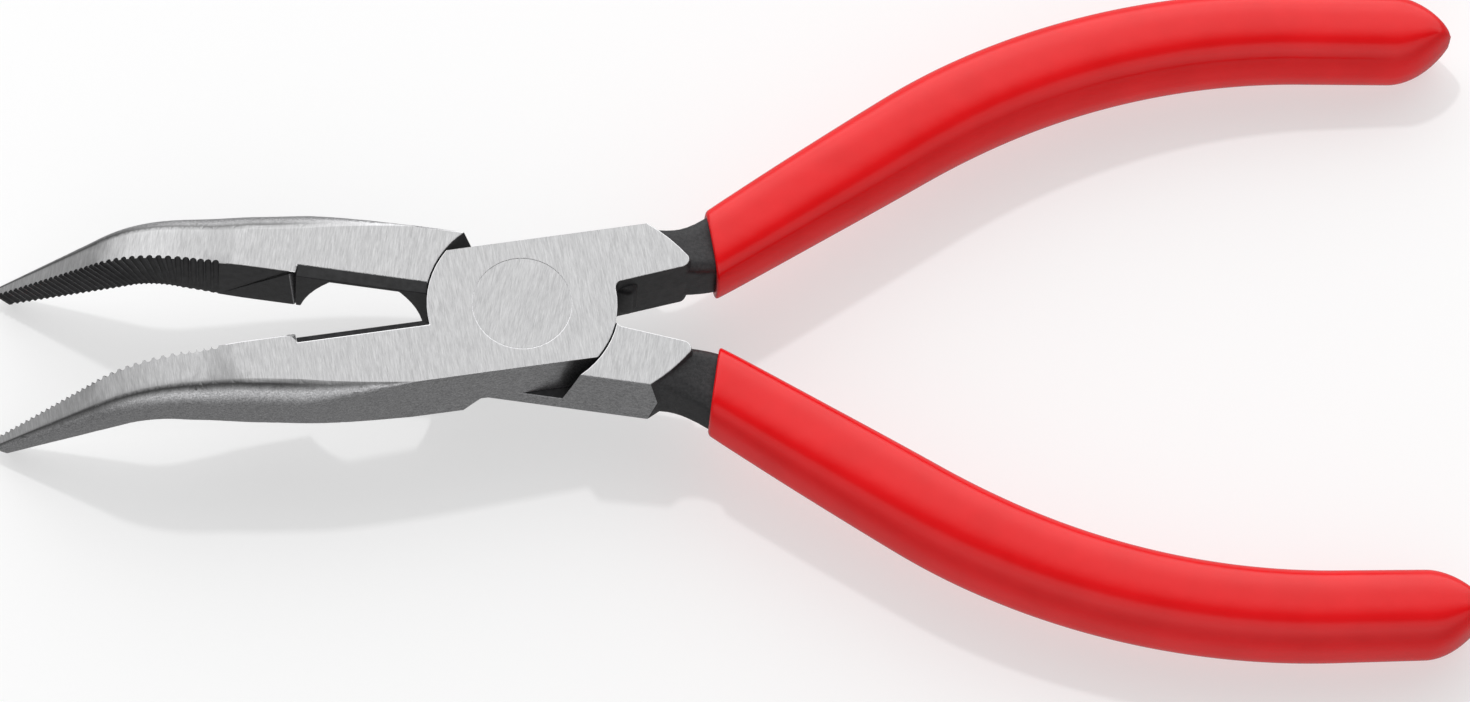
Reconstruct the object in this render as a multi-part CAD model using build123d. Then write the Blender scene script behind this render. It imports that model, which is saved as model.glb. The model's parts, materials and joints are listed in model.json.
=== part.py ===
"""Snipe-nose side-cutting pliers, 160 mm, with jaws bent 40 degrees and dipped plastic grips.

Two forged halves lap over each other and turn on one flush-ground rivet.  Each half is designed
closed, with the rivet axis on Z, the handles towards +X and the jaw tips towards -X, and is then
opened about the rivet and stood on its jaw tips and grip ends.
"""
from build123d import *
from math import atan2, cos, degrees, pi, radians, sin, sqrt
import os

# ---- driving dimensions, millimetres and degrees -------------------------------------------
HEAD_THICKNESS = 9.0          # ground front face to ground rear face
HEAD_HALF_WIDTH = 7.35        # rivet axis to the flat side of the head
HALF_OPENING = 8.456          # each half is opened this far from closed
FACE_GAP = 0.03               # gripping face to the closing plane

JOINT_RADIUS = 10.13          # lap boss, measured on the ground face
JOINT_DRAFT = 1.15            # the boss is this much smaller at the lap
LAP_Z = -2.2                  # height of the lap between the two halves
LAP_CLEARANCE = 0.03          # each lap face stands back this far
SHOULDER_CLEARANCE = 0.15     # boss to the shoulder round it
INNER_CORNER_RADIUS = 0.8     # where the boss meets the handle root

RIVET_SHANK_RADIUS = 3.5
RIVET_HEAD_RADIUS = 5.25
RIVET_HEAD_DEPTH = 1.5        # countersink of each flush head
RIVET_RUNNING_CLEARANCE = 0.04

CUTTER_START = -10.0          # cutting edges run from here
CUTTER_END = -24.2            # to here, beside the joint
CUTTER_SETBACK = 1.0          # ground edge back from the closing plane
CUTTER_DEPTH = 0.9            # cutting edge below the front face
STEP_LENGTH = 0.8             # slanted step from the gripping face back to the cutter
STEP_REAR_SHARE = 0.2         # the step is this share of its size at the rear face
SCOOP_TOP = (-20.6, -13.15)   # arched relief behind the cutting edge, ends of its flat top
SCOOP_FOOT = (-24.0, -10.5)   # ends of the arch below the rear face
SCOOP_BULGE = 0.9             # the sides of the arch swell by this much
SCOOP_TOP_Z = 3.2
SCOOP_SLOPE = 1.67            # the relief falls this far for each millimetre outwards

JAW_ROOT_X = -12.6
BEND_START_X = -36.5          # the flat jaw ends and the bend begins
THINNING_LENGTH = 7.0         # the flat jaw thins over this length before the bend
BEND_ANGLE = 40.0
BEND_RADIUS = 11.0
TIP_X = -56.1
JAW_ROOT_WIDTH = 7.35
JAW_WIDTH = 7.6               # at the cutter's outer end
JAW_BULGE = 0.6               # outward bulge between those two
TIP_WIDTH = 1.35
JAW_FRONT_Z = HEAD_THICKNESS / 2
JAW_HALF_THICKNESS = 4.07     # outside the cutter
BEND_HALF_THICKNESS = 3.5
TIP_HALF_THICKNESS = 1.1
JAW_CENTRE_Z = JAW_FRONT_Z - JAW_HALF_THICKNESS
ROOT_CORNER_RADIUS = 0.02
JAW_CORNER_RADIUS = 2.3
CORNER_SHARE_OF_WIDTH = 0.36  # the outer corners stay within these shares of the section
CORNER_SHARE_OF_THICKNESS = 0.72

TOOTH_PITCH = 0.795
TOOTH_DEPTH = 0.36            # at the front face
TOOTH_MIDDLE_DEPTH = 0.22     # in the middle of the jaw
TOOTH_LEAN = 2.0              # degrees that a groove leans out towards the rear face
TOOTH_CREST = 0.06            # flat left between two grooves
TEETH_START_X = -32.8

SIDE_END = (14.7, -7.35)      # outer end of the ground face, on the flat side of the head
FACE_BULGE = (16.95, -5.0)    # the ground face's end curves out through here
FACE_NOSE = (18.4, -2.9)      # to its round nose
FACE_NOSE_MIDDLE = (18.22, -2.1)
INNER_END = (17.5, -1.75)     # where the nose meets the inner edge
SPREAD = 0.9                  # the forging is this much longer at mid-thickness
HANDLE_INNER_NEAR = -1.0      # inner edge of the handle root, by the boss
NECK_SECTIONS = (             # distance from the rivet, width, thickness, corner radius
    (9.0, 5.2, 7.9, 1.3),
    (13.0, 5.2, 7.9, 1.3),
    (17.0, 5.15, 7.8, 1.4),
)
NECK_TURN = 0.8               # degrees that the neck turns outwards for each millimetre

GRIP_START_X = 21.3           # mouth of the grip
HANDLE_LINE_Y = -4.8          # handle centre line at the mouth
HANDLE_SLOPE = 24.3           # straight part, away from the centre line
HANDLE_STRAIGHT = 25.4        # length of that straight part
HANDLE_BOW_RADIUS = 78.0      # the bow of the palm
HANDLE_END_SLOPE = 9.5        # the end turns back in by this much
GRIP_LENGTH = 87.6            # along the centre line
HANDLE_Z = -0.5               # middle of the handles

GRIP_MOUTH_SIZE = (7.9, 8.1)  # across the handle, through its thickness
GRIP_BODY_SIZE = (8.9, 9.4)
TANG_MOUTH_SIZE = (6.5, 6.6)
TANG_END_SIZE = (5.0, 5.2)
TANG_RADIUS = 1.3
TANG_END_MARGIN = 9.0         # plastic beyond the steel
NECK_Y = -4.42                # middle of the neck beside the head
GRIP_MOUTH_RADIUS = 2.3
GRIP_BODY_RADIUS = 3.5
GRIP_SWELL_END = 0.42         # the grip has its body size from here on
GRIP_BELLY = 0.8              # and a belly of this much, in the palm
GRIP_BELLY_POWER = 0.62       # which lies nearer to the mouth than to the end
GRIP_NOSE_LENGTH = 6.7        # tapered end
NOSE_WIDTH_POWER = 1.9        # the end narrows from both sides like this power of its length
NOSE_WIDTH_LIMIT = 1.03       # it would reach a point at this share of its length
NOSE_THICKNESS_POWER = 4      # and it thins late
NOSE_THICKNESS_LIMIT = 1.08
REST_SHARE = 0.92             # share of the grip's length at which it rests on a table

REAR_Z = -HEAD_THICKNESS / 2
FRONT_Z = HEAD_THICKNESS / 2
FAR = 60.0                    # larger than any section of the head
OVERLAP = 0.05                # pieces of one solid are joined with this much in common
BELOW_REAR = 2.0              # a cut through the rear face goes on this far


# ---- small helpers ---------------------------------------------------------------------------
def slab(x0, x1, y0, y1, z0, z1):
    """A box given by its two corners."""
    return Pos((x0 + x1) / 2, (y0 + y1) / 2, (z0 + z1) / 2) * Box(x1 - x0, y1 - y0, z1 - z0)


def cone_between(radius_low, z_low, radius_high, z_high):
    """A truncated cone on the rivet axis."""
    height = z_high - z_low
    if abs(radius_low - radius_high) < 1e-6:
        return Pos(0, 0, (z_low + z_high) / 2) * Cylinder(radius_low, height)
    return Pos(0, 0, (z_low + z_high) / 2) * Cone(radius_low, radius_high, height)


def blend(start, end, fraction):
    """Linear change from start to end."""
    return start + (end - start) * fraction


def smooth(fraction):
    """Smooth change from 0 to 1."""
    fraction = min(max(fraction, 0.0), 1.0)
    return fraction * fraction * (3 - 2 * fraction)


# ---- jaw ---------------------------------------------------------------------------------------
BEND_LENGTH = radians(BEND_ANGLE) * BEND_RADIUS
BEND_END_X = BEND_START_X - BEND_RADIUS * sin(radians(BEND_ANGLE))
NOSE_LENGTH = (BEND_END_X - TIP_X) / cos(radians(BEND_ANGLE))
JAW_LENGTH = CUTTER_END - BEND_START_X + BEND_LENGTH + NOSE_LENGTH


def jaw_point(travel):
    """Centre line of the jaw: x, z and downward tilt, for travel past the start of the bend."""
    turn = degrees(min(max(travel, 0.0), BEND_LENGTH) / BEND_RADIUS)
    x = BEND_START_X - BEND_RADIUS * sin(radians(turn)) - min(travel, 0.0)
    z = JAW_CENTRE_Z - BEND_RADIUS * (1 - cos(radians(turn)))
    nose = max(travel - BEND_LENGTH, 0.0)
    return x - nose * cos(radians(turn)), z - nose * sin(radians(turn)), turn


def jaw_shape(travel):
    """Width, half thickness and outer corner radius of the jaw, for the same travel."""
    from_cutter = travel + CUTTER_END - BEND_START_X
    width = blend(JAW_WIDTH, TIP_WIDTH, from_cutter / JAW_LENGTH)
    if travel < 0:
        thinned = smooth(1 + travel / THINNING_LENGTH)
        half_thickness = blend(JAW_HALF_THICKNESS, BEND_HALF_THICKNESS, thinned)
    else:
        past_bend = travel / (BEND_LENGTH + NOSE_LENGTH)
        half_thickness = blend(BEND_HALF_THICKNESS, TIP_HALF_THICKNESS, past_bend)
    widest = CORNER_SHARE_OF_WIDTH * width + ROOT_CORNER_RADIUS
    radius = min(JAW_CORNER_RADIUS, widest, CORNER_SHARE_OF_THICKNESS * half_thickness)
    return width, half_thickness, radius


def jaw_section(x, z, tilt, width, half_thickness, radius):
    """One section of the jaw: flat gripping side, flat faces, and two round outer corners."""
    plane = Plane(
        origin=(x, 0, z),
        x_dir=(0, 1, 0),
        z_dir=(-cos(radians(tilt)), 0, -sin(radians(tilt))),
    )
    step = radius * (1 - sqrt(0.5))
    low, high, side = -half_thickness, half_thickness, width
    outline = [
        Line((FACE_GAP, low), (side - radius, low)),
        ThreePointArc((side - radius, low), (side - step, low + step), (side, low + radius)),
        Line((side, low + radius), (side, high - radius)),
        ThreePointArc((side, high - radius), (side - step, high - step), (side - radius, high)),
        Line((side - radius, high), (FACE_GAP, high)),
        Line((FACE_GAP, high), (FACE_GAP, low)),
    ]
    return plane * make_face(outline)


def jaw_blank():
    """The jaw from the joint to the tip, before the cutter and the teeth, lofted at even steps."""
    sections = []
    root_steps, flat_steps, bend_steps, nose_steps = 6, 6, 4, 8
    for step in range(root_steps):
        fraction = step / root_steps
        x = blend(JAW_ROOT_X, CUTTER_END, fraction)
        half_thickness = blend(FRONT_Z, JAW_HALF_THICKNESS, fraction)
        radius = blend(ROOT_CORNER_RADIUS, JAW_CORNER_RADIUS, fraction)
        bulge = JAW_BULGE * fraction * (1 - fraction)
        width = blend(JAW_ROOT_WIDTH, JAW_WIDTH, smooth(fraction)) + bulge
        sections.append(jaw_section(x, FRONT_Z - half_thickness, 0, width, half_thickness, radius))
    flat_length = CUTTER_END - BEND_START_X
    travels = [flat_length * (step / flat_steps - 1) for step in range(flat_steps)]
    travels += [BEND_LENGTH * step / bend_steps for step in range(bend_steps)]
    travels += [BEND_LENGTH + NOSE_LENGTH * step / nose_steps for step in range(nose_steps + 1)]
    for travel in travels:
        x, z, tilt = jaw_point(travel)
        sections.append(jaw_section(x, z, tilt, *jaw_shape(travel)))
    return loft(sections)


def tooth_grooves():
    """Round grooves across the gripping face, square to the jaw."""
    groove_width = TOOTH_PITCH - TOOTH_CREST
    radius = groove_width ** 2 / (8 * TOOTH_DEPTH) + TOOTH_DEPTH / 2
    start = BEND_START_X - TEETH_START_X
    count = int((BEND_LENGTH + NOSE_LENGTH - start) / TOOTH_PITCH)
    grooves = []
    for number in range(count + 1):
        travel = start + number * TOOTH_PITCH
        x, z, tilt = jaw_point(travel)
        half_thickness = jaw_shape(travel)[1]
        depth_y = FACE_GAP + TOOTH_MIDDLE_DEPTH - radius
        groove = Cylinder(radius, 2 * half_thickness + 3)
        grooves.append(Pos(x, depth_y, z) * Rot(0, -tilt, 0) * Rot(-TOOTH_LEAN, 0, 0) * groove)
    return grooves


# ---- head --------------------------------------------------------------------------------------
def cutter_bevel():
    """The ground bevel that leads to the cutting edge on the front face."""
    profile = Plane.YZ * make_face(Polyline(
        (-1, FRONT_Z - CUTTER_DEPTH),
        (FACE_GAP, FRONT_Z - CUTTER_DEPTH),
        (CUTTER_SETBACK, FRONT_Z),
        (CUTTER_SETBACK, FRONT_Z + 1),
        (-1, FRONT_Z + 1),
        close=True,
    ))
    return Pos(CUTTER_END, 0, 0) * extrude(profile, amount=CUTTER_START - CUTTER_END)


def cutter_step():
    """Slanted step from the gripping face back to the cutter, fading towards the rear face."""
    outlines = []
    for z, share in ((FRONT_Z, 1.0), (REAR_Z, STEP_REAR_SHARE)):
        start = CUTTER_END - STEP_LENGTH * share
        outline = Polyline((start, 0), (start, FACE_GAP), (CUTTER_END, CUTTER_SETBACK * share),
                           (CUTTER_END, 0), close=True)
        outlines.append(Pos(0, 0, z) * make_face(outline))
    return loft(outlines, ruled=True)


def cutter_scoop():
    """Arched relief behind the cutting edge, falling outwards to the rear face."""
    foot_z = REAR_Z - BELOW_REAR
    middle_z = (SCOOP_TOP_Z + foot_z) / 2
    top_left, top_right = (SCOOP_TOP[0], SCOOP_TOP_Z), (SCOOP_TOP[1], SCOOP_TOP_Z)
    foot_left, foot_right = (SCOOP_FOOT[0], foot_z), (SCOOP_FOOT[1], foot_z)
    middle_left = ((SCOOP_TOP[0] + SCOOP_FOOT[0]) / 2 - SCOOP_BULGE, middle_z)
    middle_right = ((SCOOP_TOP[1] + SCOOP_FOOT[1]) / 2 + SCOOP_BULGE, middle_z)
    arch = Plane.XZ * make_face([
        Line(top_left, top_right),
        ThreePointArc(top_right, middle_right, foot_right),
        Line(foot_right, foot_left),
        ThreePointArc(foot_left, middle_left, top_left),
    ])
    return extrude(arch, amount=2 * HEAD_THICKNESS, dir=(0, 1, -SCOOP_SLOPE))


def boss(z_low, z_high, growth=0.0):
    """The conical lap boss between two heights: full radius on the ground face."""
    outer = JOINT_RADIUS + growth
    inner = outer - JOINT_DRAFT
    if z_high > 0:
        return cone_between(inner, z_low, outer, z_high)
    return cone_between(outer, z_low, inner, z_high)


def root_outline(spread):
    """Outline of the handle root with a round inner corner; its end moves out by the spread."""
    run = INNER_END[0] - JOINT_RADIUS
    drop = HANDLE_INNER_NEAR - INNER_END[1]
    slope = atan2(drop, run)
    along, across = cos(slope), sin(slope)
    offset = across * JOINT_RADIUS + along * HANDLE_INNER_NEAR + INNER_CORNER_RADIUS
    reach = sqrt((JOINT_RADIUS + INNER_CORNER_RADIUS) ** 2 - offset ** 2)
    centre = (across * offset + along * reach, along * offset - across * reach)
    shrink = JOINT_RADIUS / (JOINT_RADIUS + INNER_CORNER_RADIUS)
    on_boss = (centre[0] * shrink, centre[1] * shrink)
    on_edge = (centre[0] - INNER_CORNER_RADIUS * across, centre[1] - INNER_CORNER_RADIUS * along)
    corners = (INNER_END, FACE_NOSE_MIDDLE, FACE_NOSE, FACE_BULGE, SIDE_END)
    inner_end, nose_middle, nose, bulge, side_end = [(x + spread, y) for x, y in corners]
    return make_face([
        Line(on_edge, inner_end),
        ThreePointArc(inner_end, nose_middle, nose),
        ThreePointArc(nose, bulge, side_end),
        Polyline(side_end, (0, SIDE_END[1]), (0, on_boss[1]), on_boss),
        RadiusArc(on_boss, on_edge, -INNER_CORNER_RADIUS),
    ])


def handle_root():
    """Ground end of the head beside the boss, a little longer at mid-thickness."""
    middle = root_outline(SPREAD)
    front = loft([middle, Pos(0, 0, FRONT_Z) * root_outline(0)], ruled=True)
    return front + mirror(front, about=Plane.XY)


# ---- handle ------------------------------------------------------------------------------------
def handle_point(travel):
    """Centre line of the handle: x, y and heading in degrees, for travel from the mouth."""
    bow_turn = HANDLE_SLOPE + HANDLE_END_SLOPE
    bow_length = radians(bow_turn) * HANDLE_BOW_RADIUS
    straight = min(travel, HANDLE_STRAIGHT)
    x = GRIP_START_X + straight * cos(radians(HANDLE_SLOPE))
    y = HANDLE_LINE_Y - straight * sin(radians(HANDLE_SLOPE))
    turned = degrees(min(max(travel - HANDLE_STRAIGHT, 0.0), bow_length) / HANDLE_BOW_RADIUS)
    heading = -HANDLE_SLOPE + turned
    x += HANDLE_BOW_RADIUS * (sin(radians(HANDLE_SLOPE)) + sin(radians(heading)))
    y += HANDLE_BOW_RADIUS * (cos(radians(HANDLE_SLOPE)) - cos(radians(heading)))
    rest = max(travel - HANDLE_STRAIGHT - bow_length, 0.0)
    return x + rest * cos(radians(heading)), y + rest * sin(radians(heading)), heading


def rounded_section(x, y, z, heading, width, thickness, radius):
    """A rounded rectangle square to the heading."""
    plane = Plane(
        origin=(x, y, z),
        x_dir=(-sin(radians(heading)), cos(radians(heading)), 0),
        z_dir=(cos(radians(heading)), sin(radians(heading)), 0),
    )
    return plane * RectangleRounded(width, thickness, radius)


def tang():
    """The steel neck and the tang inside the grip, lofted at even steps."""
    tang_length = GRIP_LENGTH - TANG_END_MARGIN
    sections = []
    for x, width, thickness, radius in NECK_SECTIONS:
        heading = -NECK_TURN * (x - NECK_SECTIONS[0][0])
        sections.append(rounded_section(x, NECK_Y, 0, heading, width, thickness, radius))
    steps = 22
    for step in range(steps + 1):
        fraction = step / steps
        x, y, heading = handle_point(fraction * tang_length)
        width = blend(TANG_MOUTH_SIZE[0], TANG_END_SIZE[0], fraction)
        thickness = blend(TANG_MOUTH_SIZE[1], TANG_END_SIZE[1], fraction)
        sections.append(rounded_section(x, y, HANDLE_Z, heading, width, thickness, TANG_RADIUS))
    return loft(sections)


def grip_blank():
    """The outside of one grip: a bowed rounded bar with a pinched, pointed end."""
    body_length = GRIP_LENGTH - GRIP_NOSE_LENGTH
    steps = 12
    sections = []
    for step in range(-1, steps + 1):
        fraction = step / steps
        x, y, heading = handle_point(fraction * body_length)
        swell = smooth(fraction / GRIP_SWELL_END)
        width = blend(GRIP_MOUTH_SIZE[0], GRIP_BODY_SIZE[0], swell)
        thickness = blend(GRIP_MOUTH_SIZE[1], GRIP_BODY_SIZE[1], swell)
        belly = GRIP_BELLY * sin(pi * max(fraction, 0.0) ** GRIP_BELLY_POWER)
        width += belly
        thickness += belly
        radius = blend(GRIP_MOUTH_RADIUS, GRIP_BODY_RADIUS, swell)
        sections.append(rounded_section(x, y, HANDLE_Z, heading, width, thickness, radius))
    nose = []
    nose_steps = 8
    for step in range(nose_steps + 1):
        fraction = step / nose_steps
        x, y, heading = handle_point(body_length + fraction * GRIP_NOSE_LENGTH)
        width = GRIP_BODY_SIZE[0] * (1 - fraction ** NOSE_WIDTH_POWER / NOSE_WIDTH_LIMIT)
        thinned = sqrt(1 - fraction ** NOSE_THICKNESS_POWER / NOSE_THICKNESS_LIMIT)
        thickness = GRIP_BODY_SIZE[1] * thinned
        radius = GRIP_BODY_RADIUS * min(width, thickness) / GRIP_BODY_SIZE[0]
        nose.append(rounded_section(x, y, HANDLE_Z, heading, width, thickness, radius))
    mouth_cut = slab(0, GRIP_START_X, -FAR, FAR, -FAR, FAR)
    return loft(sections) + loft(nose) - mouth_cut


# ---- the pieces --------------------------------------------------------------------------------
def rivet(clearance=0.0):
    """Rivet with two flush countersunk heads, or with a clearance the room it runs in."""
    shank = RIVET_SHANK_RADIUS + clearance
    head = RIVET_HEAD_RADIUS + clearance
    front = cone_between(shank, FRONT_Z - RIVET_HEAD_DEPTH, head, FRONT_Z)
    rear = cone_between(head, REAR_Z, shank, REAR_Z + RIVET_HEAD_DEPTH)
    middle = cone_between(shank, REAR_Z + RIVET_HEAD_DEPTH, shank, FRONT_Z - RIVET_HEAD_DEPTH)
    return front + middle + rear


def forged_half(own_low, own_high, other_low, other_high, bore):
    """One half, jaw on +Y and handle on -Y, with its boss between its own two heights."""
    jaw_root = slab(JAW_ROOT_X - OVERLAP, 0, FACE_GAP, HEAD_HALF_WIDTH, REAR_Z, FRONT_Z)
    steel = jaw_blank() - tooth_grooves() + jaw_root + handle_root() + tang()
    steel = steel - cutter_bevel() - cutter_step() - cutter_scoop()
    steel = steel - boss(other_low, other_high, SHOULDER_CLEARANCE)
    strip = slab(-FAR, FAR, -HEAD_HALF_WIDTH, HEAD_HALF_WIDTH, -FAR, FAR)
    steel = steel + (boss(own_low, own_high) & strip)
    return steel - bore


def main():
    os.makedirs("parts", exist_ok=True)
    front_lap = LAP_Z + LAP_CLEARANCE
    rear_lap = LAP_Z - LAP_CLEARANCE
    front_levels = (front_lap, FRONT_Z, REAR_Z, front_lap)
    rear_levels = (REAR_Z, rear_lap, rear_lap, FRONT_Z)
    front_half = mirror(forged_half(*front_levels, rivet()), about=Plane.XZ)
    rear_half = forged_half(*rear_levels, rivet(RIVET_RUNNING_CLEARANCE))
    rear_grip = grip_blank() - tang()
    front_grip = mirror(rear_grip, about=Plane.XZ)

    opened = {
        "front_half": Rot(0, 0, HALF_OPENING) * front_half,
        "front_grip": Rot(0, 0, HALF_OPENING) * front_grip,
        "joint_rivet": rivet(),
        "rear_half": Rot(0, 0, -HALF_OPENING) * rear_half,
        "rear_grip": Rot(0, 0, -HALF_OPENING) * rear_grip,
    }

    tip_x, tip_z, tilt = jaw_point(BEND_LENGTH + NOSE_LENGTH)
    tip_low = tip_z - TIP_HALF_THICKNESS * cos(radians(tilt))
    grip_x = handle_point(REST_SHARE * GRIP_LENGTH)[0]
    grip_low = HANDLE_Z - GRIP_BODY_SIZE[1] / 2
    pitch = degrees(atan2(grip_low - tip_low, grip_x - tip_x))
    pitched = {name: Rot(0, pitch, 0) * piece for name, piece in opened.items()}
    boxes = [piece.bounding_box() for piece in pitched.values()]
    middle_x = (min(box.min.X for box in boxes) + max(box.max.X for box in boxes)) / 2
    middle_y = (min(box.min.Y for box in boxes) + max(box.max.Y for box in boxes)) / 2
    stand = Pos(-middle_x, -middle_y, -min(box.min.Z for box in boxes))

    for name, piece in pitched.items():
        export_step(stand * piece, f"parts/{name}.step")
    pivot = (stand * Rot(0, pitch, 0) * Vertex(0, 0, 0)).center()
    axis = (Rot(0, pitch, 0) * Vertex(0, 0, 1)).center()
    print("pitch", round(pitch, 4), "pivot", pivot, "axis", axis)


main()
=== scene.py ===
"""Studio picture of the needle nose pliers: bevelled steel halves, ground rivet and dipped grips.

Lengths inside the helper functions are millimetres in the frame of one closed half (rivet axis on Z,
handles towards +X, that half's jaw on +Y and its handle on -Y).  HALF_FRAME turns them into the
metres of the row frame.
"""
import json
from math import atan2, cos, pi, radians, sin, sqrt
import bmesh
import bpy
from mathutils import Matrix, Vector


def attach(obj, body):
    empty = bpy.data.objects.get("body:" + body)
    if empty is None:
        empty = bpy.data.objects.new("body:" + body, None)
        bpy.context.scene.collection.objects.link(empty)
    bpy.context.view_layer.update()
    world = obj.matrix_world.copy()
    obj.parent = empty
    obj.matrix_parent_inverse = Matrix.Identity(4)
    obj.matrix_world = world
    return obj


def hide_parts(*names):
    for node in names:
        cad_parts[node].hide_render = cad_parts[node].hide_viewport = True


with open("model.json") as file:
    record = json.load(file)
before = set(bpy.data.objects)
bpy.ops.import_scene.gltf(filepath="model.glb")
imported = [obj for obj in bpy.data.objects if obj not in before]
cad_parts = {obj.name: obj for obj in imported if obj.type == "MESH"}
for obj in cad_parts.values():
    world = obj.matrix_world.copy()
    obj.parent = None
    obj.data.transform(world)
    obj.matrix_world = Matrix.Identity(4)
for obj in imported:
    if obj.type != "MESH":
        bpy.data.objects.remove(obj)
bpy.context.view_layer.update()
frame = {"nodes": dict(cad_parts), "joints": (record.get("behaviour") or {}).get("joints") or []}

# ---- the frame of the tool -------------------------------------------------------------------
MM = 0.001
HALF_OPENING = 8.456
pivot_joint = frame["joints"][0]
pivot_axis = Vector(pivot_joint["axis"])
TOOL = (
    Matrix.Translation(Vector(pivot_joint["pos_m"]))
    @ Matrix.Rotation(atan2(pivot_axis.x, pivot_axis.z), 4, "Y")
    @ Matrix.Scale(MM, 4)
)
MIRROR_Y = Matrix.Diagonal((1, -1, 1, 1))
HALF_FRAME = {
    "rear": TOOL @ Matrix.Rotation(radians(-HALF_OPENING), 4, "Z"),
    "front": TOOL @ Matrix.Rotation(radians(HALF_OPENING), 4, "Z") @ MIRROR_Y,
}

# ---- steel: where one finish ends and the next begins, millimetres ---------------------------
FACE_Z = 4.5
FACE_COSINE, FACE_SLACK = 0.999, 0.02
FLAT_COSINE, FLAT_SLACK = 0.9999, 0.01
HEAD_SIDE = 7.35
SIDE_FROM, SIDE_TO = -14.0, 16.5
SIDE_COSINE = 0.98
INNER_EDGE_Y = -1.9
INNER_EDGE_COSINE = 0.9
CUTTER_START = -10.0
CUTTER_END = -24.2
STEP_LENGTH = 0.9
STEP_COSINE = 0.3
BOSS_EDGE = 10.53
GRIP_FACE_Y = 1.2
GRIP_FACE_COSINE = 0.35
SCOOP_SLOPE = 1.67
SCOOP_SLACK = 0.06
SCOOP_MAX_RISE = 0.2
SCOOP_START = -25.2
TEETH_START = -32.0
TEETH_TOP_Y = 1.0
BEND_START = -36.5
BEND_RADIUS = 11.0
BEND_ANGLE = radians(40.0)
BEND_END = BEND_START - BEND_RADIUS * sin(BEND_ANGLE)

# Painted shade: a dark band painted between the jaw's face and its side, standing in for the dark
# reflection there: angles away from the face in degrees where it begins, is darkest and ends, and the
# stretch of the jaw over which it comes in.
SHADE_BAND_ANGLES = (4.0, 16.0, 38.0)
SHADE_BAND_START = -17.0
SHADE_BAND_FULL = -27.0
SHADE_BAND_STRENGTH = 0.88

# ---- steel: mesh -----------------------------------------------------------------------------
POINT_MERGE = 0.002
PLAIN_MERGE = 0.02
FLAT_ANGLE = 0.6
EDGE_ROUND = 0.08
EDGE_ANGLE = 28.0
SHARP_ANGLE = 18.0
PLAIN_AREA = 2.0

# ---- grips -----------------------------------------------------------------------------------
GRIP_START_X = 21.3
HANDLE_LINE_Y = -4.8
HANDLE_SLOPE = 24.3
HANDLE_STRAIGHT = 25.4
HANDLE_BOW_RADIUS = 78.0
HANDLE_END_SLOPE = 9.5
GRIP_LENGTH = 87.6
HANDLE_Z = -0.5
GRIP_MOUTH_SIZE = (7.9, 8.1)
GRIP_BODY_SIZE = (8.9, 9.4)
GRIP_SWELL_END = 0.42
GRIP_BELLY = 0.8
GRIP_BELLY_POWER = 0.62
GRIP_NOSE_LENGTH = 6.7
SEAM_FALL = 0.09
MOUTH_WALL = 0.85
MOUTH_ROUND = 0.35
MOUTH_DEPTH = 2.5
MOUTH_STEPS = 8
MOUTH_TURN_LENGTH = 14.0
NOSE_WIDTH_POWER = 1.9
NOSE_WIDTH_LIMIT = 1.03
NOSE_THICKNESS_POWER = 4
NOSE_THICKNESS_LIMIT = 1.08
MOUTH_SQUARENESS = 3.3
BODY_SQUARENESS = 2.9
GRIP_RINGS = 260
GRIP_SIDES = 112


# ---- small helpers ---------------------------------------------------------------------------
def blend(start, end, fraction):
    return start + (end - start) * fraction


def smooth(fraction):
    fraction = min(max(fraction, 0.0), 1.0)
    return fraction * fraction * (3 - 2 * fraction)


def new_piece(name, bm, body, node):
    """A finished mesh as a piece that rides on a body and stands for one CAD node."""
    mesh = bpy.data.meshes.new(name)
    bm.to_mesh(mesh)
    bm.free()
    piece = bpy.data.objects.new(name, mesh)
    bpy.context.scene.collection.objects.link(piece)
    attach(piece, body)
    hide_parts(node)
    return piece


def store_half_position(piece, side):
    """Keeps each point's place in the half's own frame, in millimetres, for the materials."""
    inverse = HALF_FRAME[side].inverted()
    attribute = piece.data.attributes.new("half_mm", "FLOAT_VECTOR", "POINT")
    for vertex, value in zip(piece.data.vertices, attribute.data):
        value.vector = inverse @ vertex.co


def store_half_normal(piece, side):
    """Keeps each corner's normal in the half's own frame, for the steel of the jaws and its painted shade
    band.
    """
    turn = HALF_FRAME[side].inverted().to_3x3().normalized()
    attribute = piece.data.attributes.new("half_normal", "FLOAT_VECTOR", "CORNER")
    for corner, value in zip(piece.data.corner_normals, attribute.data):
        value.vector = (turn @ corner.vector).normalized()


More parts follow.
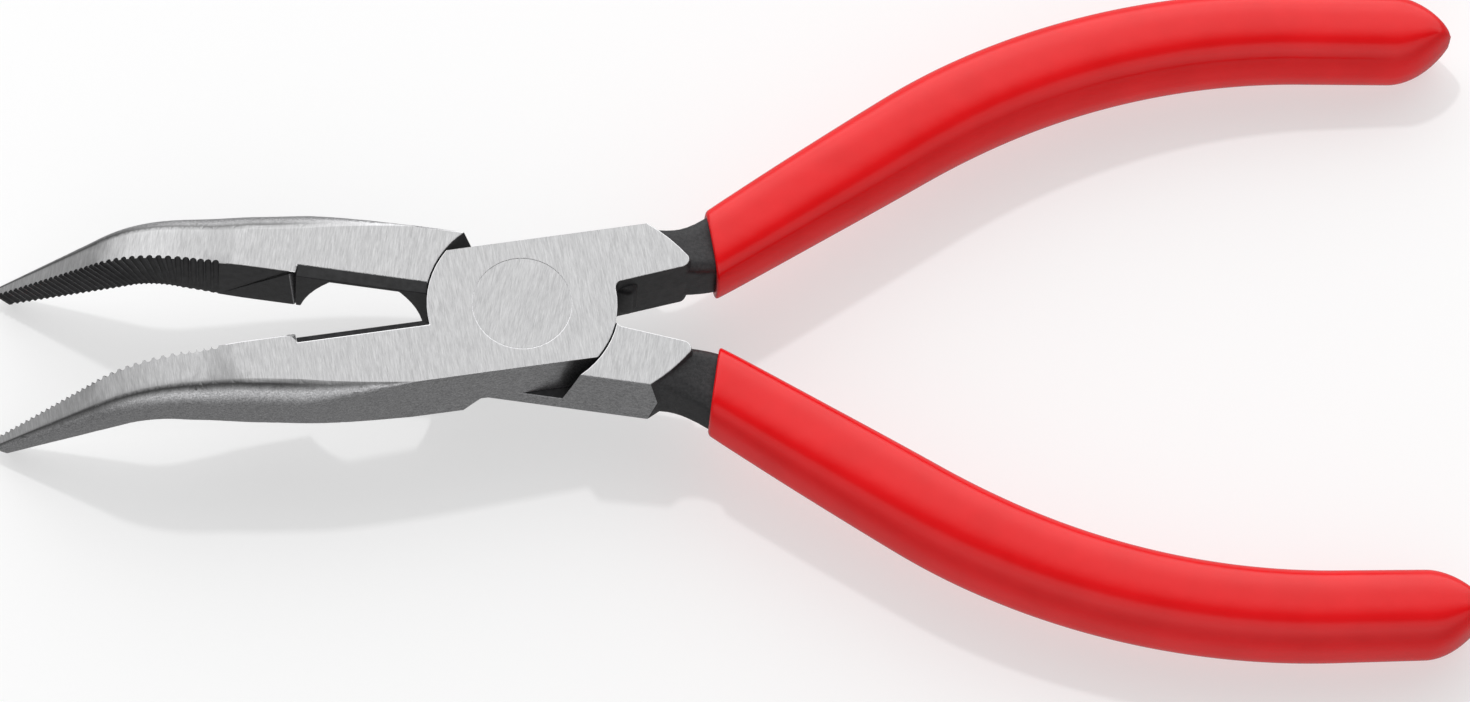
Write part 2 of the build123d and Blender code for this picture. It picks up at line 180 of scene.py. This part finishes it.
# ---- node helpers ----------------------------------------------------------------------------
class Shader:
    """Short calls for the few nodes that the materials share."""

    def __init__(self, name):
        self.material = bpy.data.materials.new(name)
        self.material.use_nodes = True
        self.nodes = self.material.node_tree.nodes
        self.links = self.material.node_tree.links
        self.surface = self.nodes["Principled BSDF"]

    def plug(self, source, target):
        if isinstance(source, bpy.types.NodeSocket):
            self.links.new(source, target)
        else:
            target.default_value = source

    def attribute(self, name):
        node = self.nodes.new("ShaderNodeAttribute")
        node.attribute_name = name
        return node.outputs["Vector"]

    def position(self):
        return self.attribute("half_mm")

    def parts(self, vector):
        node = self.nodes.new("ShaderNodeSeparateXYZ")
        self.plug(vector, node.inputs["Vector"])
        return node.outputs["X"], node.outputs["Y"], node.outputs["Z"]

    def scaled(self, vector, scale, turn=0.0):
        node = self.nodes.new("ShaderNodeMapping")
        self.plug(vector, node.inputs["Vector"])
        node.inputs["Scale"].default_value = scale
        node.inputs["Rotation"].default_value = (0, 0, radians(turn))
        return node.outputs["Vector"]

    def noise(self, vector, scale, detail=4.0, roughness=0.55):
        node = self.nodes.new("ShaderNodeTexNoise")
        self.plug(vector, node.inputs["Vector"])
        node.inputs["Scale"].default_value = scale
        node.inputs["Detail"].default_value = detail
        node.inputs["Roughness"].default_value = roughness
        return node.outputs["Fac"]

    def spread(self, value, low, high, out_low, out_high):
        node = self.nodes.new("ShaderNodeMapRange")
        self.plug(value, node.inputs["Value"])
        node.inputs["From Min"].default_value = low
        node.inputs["From Max"].default_value = high
        node.inputs["To Min"].default_value = out_low
        node.inputs["To Max"].default_value = out_high
        return node.outputs["Result"]

    def math(self, operation, first, second=0.0):
        node = self.nodes.new("ShaderNodeMath")
        node.operation = operation
        self.plug(first, node.inputs[0])
        self.plug(second, node.inputs[1])
        return node.outputs["Value"]

    def sum(self, first, first_share, second, second_share):
        """Two values added together in the given shares."""
        first_part = self.math("MULTIPLY", first, first_share)
        second_part = self.math("MULTIPLY", second, second_share)
        return self.math("ADD", first_part, second_part)

    def mix(self, fraction, first, second):
        node = self.nodes.new("ShaderNodeMix")
        node.data_type = "RGBA"
        self.plug(fraction, node.inputs["Factor"])
        self.plug((*first, 1) if isinstance(first, tuple) else first, node.inputs["A"])
        self.plug((*second, 1) if isinstance(second, tuple) else second, node.inputs["B"])
        return node.outputs["Result"]

    def bump(self, height, strength, distance, normal=None):
        node = self.nodes.new("ShaderNodeBump")
        node.inputs["Strength"].default_value = strength
        node.inputs["Distance"].default_value = distance
        self.plug(height, node.inputs["Height"])
        if normal:
            self.plug(normal, node.inputs["Normal"])
        return node.outputs["Normal"]

    def finish(self, color, roughness, normal=None, metallic=0.0, **constants):
        self.plug((*color, 1) if isinstance(color, tuple) else color, self.surface.inputs["Base Color"])
        self.plug(roughness, self.surface.inputs["Roughness"])
        self.surface.inputs["Metallic"].default_value = metallic
        if normal:
            self.plug(normal, self.surface.inputs["Normal"])
        for name, value in constants.items():
            self.surface.inputs[name.replace("_", " ")].default_value = value
        return self.material


# ---- materials -------------------------------------------------------------------------------
def ground_look(shader, place):
    """Colour, roughness and height of flat-ground steel, with fine lines across the tool."""
    lines = shader.noise(shader.scaled(place, (11.0, 0.9, 3.0), 4.0), 1.0, 4.0, 0.68)
    strokes = shader.noise(shader.scaled(place, (4.5, 0.5, 1.5), -3.0), 1.0, 3.0, 0.6)
    tone = shader.sum(lines, 0.65, strokes, 0.35)
    color = shader.mix(shader.spread(tone, 0.36, 0.64, 0, 1), (0.43, 0.43, 0.435), (0.66, 0.66, 0.665))
    rough = shader.spread(lines, 0.3, 0.7, 0.30, 0.42)
    return color, rough, lines


def satin_look(shader, place):
    """Colour, roughness and height of belt-finished steel: fine dark grain on grey."""
    grain = shader.noise(place, 5.5, 6.0, 0.8)
    lines = shader.noise(shader.scaled(place, (1.4, 6.0, 6.0)), 1.3, 4.0, 0.6)
    tone = shader.sum(grain, 0.7, lines, 0.3)
    color = shader.mix(shader.spread(tone, 0.40, 0.62, 0, 1), (0.34, 0.34, 0.35), (0.84, 0.84, 0.85))
    rough = shader.spread(grain, 0.3, 0.7, 0.30, 0.42)
    return color, rough, grain


def ground_steel():
    """Bright flat-ground steel of the head."""
    shader = Shader("ground_steel")
    color, rough, height = ground_look(shader, shader.position())
    return shader.finish(color, rough, shader.bump(height, 0.35, 0.00003), metallic=1.0, Anisotropic=0.3)


def satin_steel():
    """Belt-finished steel of the sides of the head."""
    shader = Shader("satin_steel")
    color, rough, height = satin_look(shader, shader.position())
    return shader.finish(color, rough, shader.bump(height, 0.3, 0.00002), metallic=1.0)


def jaw_steel():
    """Jaws: ground in front and satin round the side, with a painted dark band of shade between the two."""
    shader = Shader("jaw_steel")
    place = shader.position()
    along = shader.parts(place)[0]
    normal = shader.parts(shader.attribute("half_normal"))
    tilt = shader.spread(along, BEND_END, BEND_START, BEND_ANGLE, 0.0)
    ahead = shader.math("MULTIPLY", normal[0], shader.math("SINE", tilt))
    upward = shader.math("MULTIPLY", normal[2], shader.math("COSINE", tilt))
    facing = shader.math("SUBTRACT", upward, ahead)
    away = shader.math("ARCCOSINE", shader.math("MINIMUM", facing, 1.0))
    begins, darkest, ends = [radians(angle) for angle in SHADE_BAND_ANGLES]
    round_side = shader.spread(away, begins, ends, 0.0, 1.0)
    # Painted shade: a dark band where the jaw's face turns into its side, standing in for a dark
    # reflection.
    rise = shader.spread(away, begins, darkest, 0.0, 1.0)
    fall = shader.spread(away, darkest, ends, 1.0, 0.0)
    reach = shader.spread(along, SHADE_BAND_START, SHADE_BAND_FULL, 0.0, SHADE_BAND_STRENGTH)
    painted_shade = shader.math("MULTIPLY", shader.math("MULTIPLY", rise, fall), reach)
    ground, ground_rough, ground_height = ground_look(shader, place)
    satin, satin_rough, satin_height = satin_look(shader, place)
    # The painted shade band pulls the steel colour towards near black.
    color = shader.mix(painted_shade, shader.mix(round_side, ground, satin), (0.10, 0.10, 0.10))
    rough = shader.sum(ground_rough, 0.5, satin_rough, 0.5)
    height = shader.math("ADD", ground_height, satin_height)
    return shader.finish(color, rough, shader.bump(height, 0.3, 0.00002), metallic=1.0)


def black_steel():
    """Blackened steel of the gripping faces, cutters and lap."""
    shader = Shader("black_steel")
    place = shader.position()
    grain = shader.noise(place, 7.0, 5.0, 0.65)
    cloud = shader.noise(place, 1.2, 3.0)
    color = shader.mix(shader.spread(cloud, 0.35, 0.65, 0, 1), (0.010, 0.010, 0.011), (0.026, 0.026, 0.028))
    rough = shader.spread(grain, 0.3, 0.7, 0.30, 0.48)
    return shader.finish(color, rough, shader.bump(grain, 0.35, 0.00003), Specular_IOR_Level=0.55)


def forged_neck():
    """Rough black scale left by forging on the necks of the handles."""
    shader = Shader("forged_neck")
    place = shader.position()
    pits = shader.noise(place, 3.2, 6.0, 0.68)
    fine = shader.noise(place, 14.0, 4.0, 0.6)
    color = shader.mix(shader.spread(pits, 0.35, 0.65, 0, 1), (0.011, 0.011, 0.012), (0.034, 0.034, 0.036))
    rough = shader.spread(fine, 0.3, 0.7, 0.42, 0.62)
    height = shader.math("ADD", pits, shader.math("MULTIPLY", fine, 0.4))
    return shader.finish(color, rough, shader.bump(height, 0.55, 0.00008), Specular_IOR_Level=0.5)


def bright_edge():
    """Thin polished lip where a ground face meets a side."""
    shader = Shader("bright_edge")
    lines = shader.noise(shader.position(), 5.0, 4.0)
    color = shader.mix(shader.spread(lines, 0.35, 0.65, 0, 1), (0.66, 0.66, 0.67), (0.82, 0.82, 0.83))
    rough = shader.spread(lines, 0.3, 0.7, 0.22, 0.36)
    return shader.finish(color, rough, metallic=1.0)


def red_plastic():
    """Glossy dipped plastic: even colour, a faint orange-peel and slow changes of gloss."""
    shader = Shader("red_plastic")
    place = shader.position()
    cloud = shader.noise(place, 0.16, 3.0)
    peel = shader.noise(place, 0.55, 2.0, 0.4)
    fine = shader.noise(place, 4.0, 3.0, 0.5)
    color = shader.mix(shader.spread(cloud, 0.35, 0.65, 0, 1), (0.74, 0.004, 0.006), (0.80, 0.006, 0.009))
    rough = shader.spread(fine, 0.3, 0.7, 0.15, 0.20)
    normal = shader.bump(peel, 0.12, 0.0002, shader.bump(fine, 0.08, 0.00002))
    return shader.finish(color, rough, normal, Specular_IOR_Level=0.45)


def rivet_steel():
    """The rivet's flush head, ground together with the face round it."""
    shader = Shader("rivet_steel")
    coordinates = shader.nodes.new("ShaderNodeTexCoord").outputs["Object"]
    place = shader.scaled(coordinates, (1 / MM, 1 / MM, 1 / MM), 12.0)
    color, rough, height = ground_look(shader, place)
    return shader.finish(color, rough, shader.bump(height, 0.35, 0.00003), metallic=1.0, Anisotropic=0.3)


STEEL_FINISHES = [
    ground_steel(),
    satin_steel(),
    jaw_steel(),
    black_steel(),
    forged_neck(),
    bright_edge(),
]
GROUND, SATIN, JAW, BLACK, NECK, LIP = range(len(STEEL_FINISHES))


# ---- steel halves ----------------------------------------------------------------------------
def on_ground_plane(centre, normal, cosine, slack):
    """Whether a face lies in the ground front or rear plane, within the given slack."""
    return abs(normal.z) > cosine and abs(abs(centre.z) - FACE_Z) < slack


def finish_of(centre, normal):
    """Which steel finish a face has, from its place and direction in the half's frame."""
    x, y = centre.x, centre.y
    if on_ground_plane(centre, normal, FACE_COSINE, FACE_SLACK):
        return GROUND if x > CUTTER_START else JAW
    if abs(y) > HEAD_SIDE - FACE_SLACK and abs(normal.y) > SIDE_COSINE and SIDE_FROM < x < SIDE_TO:
        return SATIN
    if sqrt(x * x + y * y) < BOSS_EDGE:
        return BLACK
    if x > CUTTER_START:
        return BLACK if normal.y > INNER_EDGE_COSINE and y > INNER_EDGE_Y else NECK
    along_scoop = abs(normal.y - SCOOP_SLOPE * normal.z) < SCOOP_SLACK
    if along_scoop and normal.z < SCOOP_MAX_RISE and x > SCOOP_START:
        return BLACK
    if normal.y < -GRIP_FACE_COSINE and y < GRIP_FACE_Y:
        on_step = CUTTER_END - STEP_LENGTH < x < CUTTER_END and normal.x > STEP_COSINE
        return SATIN if on_step else BLACK
    return JAW


def split_lips(bm):
    """Keeps the bright lip only beside ground steel; elsewhere it takes its neighbour's finish."""
    for face in [face for face in bm.faces if face.material_index == LIP]:
        beside = {other.material_index for edge in face.edges for other in edge.link_faces}
        darker = beside - {LIP}
        if darker and not beside & {GROUND, JAW}:
            face.material_index = min(darker)


def steel_half(side, body, node):
    """A bevelled copy of one forged half, with each face in its own finish."""
    inverse = HALF_FRAME[side].inverted()
    turn = inverse.to_3x3().normalized()
    bm = bmesh.new()
    bm.from_mesh(frame["nodes"][node].data)
    bmesh.ops.remove_doubles(bm, verts=bm.verts, dist=POINT_MERGE * MM)
    plain = [v for v in bm.verts if (inverse @ v.co).x > TEETH_START]
    bmesh.ops.remove_doubles(bm, verts=plain, dist=PLAIN_MERGE * MM)
    bmesh.ops.dissolve_limit(
        bm,
        angle_limit=radians(FLAT_ANGLE),
        verts=bm.verts,
        edges=bm.edges,
        use_dissolve_boundaries=False,
    )
    bmesh.ops.recalc_face_normals(bm, faces=bm.faces)
    for face in bm.faces:
        normal = (turn @ face.normal).normalized()
        face.material_index = finish_of(inverse @ face.calc_center_median(), normal)
        face.smooth = True
    corners = []
    for edge in bm.edges:
        middle = inverse @ ((edge.verts[0].co + edge.verts[1].co) / 2)
        on_teeth = middle.x < TEETH_START and middle.y < TEETH_TOP_Y
        if len(edge.link_faces) != 2 or on_teeth:
            continue
        if edge.calc_face_angle() > radians(EDGE_ANGLE):
            corners.append(edge)
    bmesh.ops.bevel(
        bm,
        geom=corners,
        offset=EDGE_ROUND * MM,
        offset_type="OFFSET",
        segments=2,
        profile=0.5,
        affect="EDGES",
        clamp_overlap=False,
        material=LIP,
        loop_slide=True,
    )
    for edge in bm.edges:
        if len(edge.link_faces) == 2:
            edge.smooth = edge.calc_face_angle() < radians(SHARP_ANGLE)
    split_lips(bm)
    for face in bm.faces:
        normal = (turn @ face.normal).normalized()
        centre = inverse @ face.calc_center_median()
        on_plane = on_ground_plane(centre, normal, FLAT_COSINE, FLAT_SLACK)
        plain_black = face.material_index == BLACK and face.calc_area() > PLAIN_AREA * MM * MM
        face.smooth = not on_plane and not plain_black and face.material_index != SATIN
    piece = new_piece(node + "_steel", bm, body, node)
    for material in STEEL_FINISHES:
        piece.data.materials.append(material)
    store_half_position(piece, side)
    store_half_normal(piece, side)
    return piece


# ---- grips -----------------------------------------------------------------------------------
def handle_point(travel):
    """Centre line of the handle: x, y and heading in radians, for travel from the mouth."""
    slope = radians(HANDLE_SLOPE)
    bow_length = (slope + radians(HANDLE_END_SLOPE)) * HANDLE_BOW_RADIUS
    straight = min(travel, HANDLE_STRAIGHT)
    x = GRIP_START_X + straight * cos(slope)
    y = HANDLE_LINE_Y - straight * sin(slope)
    turned = min(max(travel - HANDLE_STRAIGHT, 0.0), bow_length) / HANDLE_BOW_RADIUS
    heading = turned - slope
    x += HANDLE_BOW_RADIUS * (sin(slope) + sin(heading))
    y += HANDLE_BOW_RADIUS * (cos(slope) - cos(heading))
    rest = max(travel - HANDLE_STRAIGHT - bow_length, 0.0)
    return x + rest * cos(heading), y + rest * sin(heading), heading


def grip_size(travel):
    """Width, thickness and squareness of the grip's section."""
    swell = smooth(travel / ((GRIP_LENGTH - GRIP_NOSE_LENGTH) * GRIP_SWELL_END))
    width = blend(GRIP_MOUTH_SIZE[0], GRIP_BODY_SIZE[0], swell)
    thickness = blend(GRIP_MOUTH_SIZE[1], GRIP_BODY_SIZE[1], swell)
    body = min(max(travel / (GRIP_LENGTH - GRIP_NOSE_LENGTH), 0.0), 1.0)
    belly = GRIP_BELLY * sin(pi * body ** GRIP_BELLY_POWER)
    width += belly
    thickness += belly
    nose = min(max((travel - GRIP_LENGTH + GRIP_NOSE_LENGTH) / GRIP_NOSE_LENGTH, 0.0), 1.0)
    width *= 1 - nose ** NOSE_WIDTH_POWER / NOSE_WIDTH_LIMIT
    thickness *= sqrt(1 - nose ** NOSE_THICKNESS_POWER / NOSE_THICKNESS_LIMIT)
    return width, thickness, blend(MOUTH_SQUARENESS, BODY_SQUARENESS, swell)


def grip_ring(travel, shrink=0.0):
    """Points round the grip; near the mouth the ring turns square to the head."""
    x, y, heading = handle_point(travel)
    width, thickness, squareness = grip_size(travel)
    lean = -heading * (1 - smooth(travel / MOUTH_TURN_LENGTH))
    across = (width / 2 - shrink) / cos(lean)
    upward = thickness / 2 - shrink
    direction = heading + lean
    points = []
    for number in range(GRIP_SIDES):
        angle = 2 * pi * number / GRIP_SIDES
        c, s = cos(angle), sin(angle)
        u = across * abs(c) ** (2 / squareness) * (1 if c >= 0 else -1)
        w = upward * abs(s) ** (2 / squareness) * (1 if s >= 0 else -1)
        if c > 0:
            u -= SEAM_FALL * abs(w) * (1 - abs(w) / upward)
        points.append(Vector((x - sin(direction) * u, y + cos(direction) * u, HANDLE_Z + w)))
    return points


def dipped_grip(side, body, node):
    """One dipped grip: rolled mouth, bowed body and pinched end, as a closed grid of rings."""
    place = HALF_FRAME[side]
    rings = [grip_ring(MOUTH_DEPTH, MOUTH_WALL), grip_ring(0.0, MOUTH_WALL)]
    for step in range(1, MOUTH_STEPS + 1):
        angle = pi / 2 * step / MOUTH_STEPS
        rings.append(grip_ring(MOUTH_ROUND * (1 - cos(angle)), MOUTH_ROUND * (1 - sin(angle))))
    for step in range(1, GRIP_RINGS + 1):
        fraction = step / GRIP_RINGS
        rings.append(grip_ring(blend(MOUTH_ROUND, GRIP_LENGTH, fraction)))
    bm = bmesh.new()
    grid = [[bm.verts.new(place @ point) for point in ring] for ring in rings]
    for inner, outer in zip(grid, grid[1:]):
        for number in range(GRIP_SIDES):
            following = (number + 1) % GRIP_SIDES
            bm.faces.new((inner[number], inner[following], outer[following], outer[number]))
    bm.faces.new(grid[0])
    bm.faces.new(list(reversed(grid[-1])))
    bmesh.ops.recalc_face_normals(bm, faces=bm.faces)
    for face in bm.faces:
        face.smooth = True
    piece = new_piece(node + "_plastic", bm, body, node)
    piece.data.materials.append(GRIP_PLASTIC)
    store_half_position(piece, side)
    return piece


# ---- studio ----------------------------------------------------------------------------------
CAMERA_TURNS = (-24.6336, 2.8935, 1.3252)
CAMERA_DISTANCE = 865.34
CAMERA_OFFSET = (-22.779, 3.172)
FOCAL_LENGTH = 199.11
SENSOR_WIDTH = 36.0
CLIP_START = 0.05


def add_camera():
    """Camera that looks down on the head, tipped towards the near handle."""
    turns = [Matrix.Rotation(radians(t), 3, a) for t, a in zip(CAMERA_TURNS, "XYZ")]
    to_camera = turns[0] @ turns[1] @ turns[2]
    to_tool = to_camera.transposed()
    centre = to_tool @ Vector((-CAMERA_OFFSET[0], -CAMERA_OFFSET[1], CAMERA_DISTANCE))
    data = bpy.data.cameras.new("camera")
    data.lens = FOCAL_LENGTH
    data.sensor_width = SENSOR_WIDTH
    data.sensor_fit = "HORIZONTAL"
    data.clip_start = CLIP_START
    camera = bpy.data.objects.new("camera", data)
    bpy.context.scene.collection.objects.link(camera)
    turn = TOOL.to_3x3().normalized() @ to_tool
    camera.matrix_world = Matrix.Translation(TOOL @ centre) @ turn.to_4x4()
    bpy.context.scene.camera = camera


FLOOR_SIZE = 1.5
FLOOR_DROP = 0.0001
FLOOR_COLOR = (0.46, 0.46, 0.46, 1)
FLOOR_GLOW = 0.50
FLOOR_ROUGHNESS = 0.6
FLOOR_SPECULAR = 0.2


def add_floor():
    """Plain pale table with a slight glow of its own, which keeps the shadow light."""
    bm = bmesh.new()
    bmesh.ops.create_grid(bm, x_segments=8, y_segments=8, size=FLOOR_SIZE)
    mesh = bpy.data.meshes.new("floor")
    bm.to_mesh(mesh)
    bm.free()
    floor = bpy.data.objects.new("floor", mesh)
    bpy.context.scene.collection.objects.link(floor)
    floor.location.z = -FLOOR_DROP
    floor.visible_glossy = False
    material = bpy.data.materials.new("floor_white")
    material.use_nodes = True
    surface = material.node_tree.nodes["Principled BSDF"]
    surface.inputs["Base Color"].default_value = FLOOR_COLOR
    surface.inputs["Roughness"].default_value = FLOOR_ROUGHNESS
    surface.inputs["Specular IOR Level"].default_value = FLOOR_SPECULAR
    surface.inputs["Emission Color"].default_value = (1, 1, 1, 1)
    surface.inputs["Emission Strength"].default_value = FLOOR_GLOW
    mesh.materials.append(material)


# Brightness of the surround at angles from overhead in degrees, minus in front and plus behind.
BAND_EDGES = (-170.0, -120.0, -95.0, -60.0, -30.0, -17.0, 0.0, 8.0, 26.0, 44.0, 74.0, 92.0, 170.0)
BAND_LEVELS = (0.26, 0.26, 0.42, 0.95, 0.80, 0.14, 0.14, 0.45, 1.25, 1.90, 1.90, 0.45, 0.26)
SIDE_FALL = 0.55


def add_world():
    """Studio surround: bands of brightness by the angle from overhead, fading to both sides."""
    world = bpy.data.worlds.new("studio")
    world.use_nodes = True
    nodes, links = world.node_tree.nodes, world.node_tree.links
    direction = nodes.new("ShaderNodeSeparateXYZ")
    links.new(nodes.new("ShaderNodeTexCoord").outputs["Generated"], direction.inputs["Vector"])
    tilt = nodes.new("ShaderNodeMath")
    tilt.operation = "ARCTAN2"
    links.new(direction.outputs["Y"], tilt.inputs[0])
    links.new(direction.outputs["Z"], tilt.inputs[1])
    share = nodes.new("ShaderNodeMapRange")
    share.inputs["From Min"].default_value = -pi
    share.inputs["From Max"].default_value = pi
    links.new(tilt.outputs["Value"], share.inputs["Value"])
    ramp = nodes.new("ShaderNodeValToRGB")
    stops = ramp.color_ramp.elements
    for edge, level in zip(BAND_EDGES, BAND_LEVELS):
        stop = stops.new((edge + 180) / 360)
        stop.color = (level, level, level, 1)
    stops.remove(stops[0])
    stops.remove(stops[len(stops) - 1])
    links.new(share.outputs["Result"], ramp.inputs["Fac"])
    square = nodes.new("ShaderNodeMath")
    square.operation = "POWER"
    links.new(direction.outputs["X"], square.inputs[0])
    square.inputs[1].default_value = 2.0
    fall = nodes.new("ShaderNodeMath")
    fall.operation = "MULTIPLY_ADD"
    links.new(square.outputs["Value"], fall.inputs[0])
    fall.inputs[1].default_value = -SIDE_FALL
    fall.inputs[2].default_value = 1.0
    background = nodes["Background"]
    links.new(ramp.outputs["Color"], background.inputs["Color"])
    links.new(fall.outputs["Value"], background.inputs["Strength"])
    bpy.context.scene.world = world


KEY_TILT = 28.0
KEY_DISTANCE = 1.0
KEY_SIZE = (0.05, 0.05)
KEY_POWER = 2.9
KEY_ASIDE = -0.11


def add_light():
    """Compact key that casts the shadow, and the surround that the steel and plastic reflect."""
    height = KEY_DISTANCE * cos(radians(KEY_TILT))
    behind = KEY_DISTANCE * sin(radians(KEY_TILT))
    data = bpy.data.lights.new("key", "AREA")
    data.shape = "RECTANGLE"
    data.size, data.size_y = KEY_SIZE
    data.energy = KEY_POWER
    key = bpy.data.objects.new("key", data)
    bpy.context.scene.collection.objects.link(key)
    place = Vector((KEY_ASIDE, behind, height))
    key.location = place
    key.rotation_euler = (-place).to_track_quat("-Z", "Y").to_euler()
    key.visible_glossy = False
    add_world()
    bpy.context.scene.view_settings.view_transform = "Standard"


GRIP_PLASTIC = red_plastic()

steel_half("front", "front_lever", "front_half")
steel_half("rear", "rear_lever", "rear_half")
dipped_grip("front", "front_lever", "front_grip")
dipped_grip("rear", "rear_lever", "rear_grip")
frame["nodes"]["joint_rivet"].data.materials.clear()
frame["nodes"]["joint_rivet"].data.materials.append(rivet_steel())
add_camera()
add_floor()
add_light()
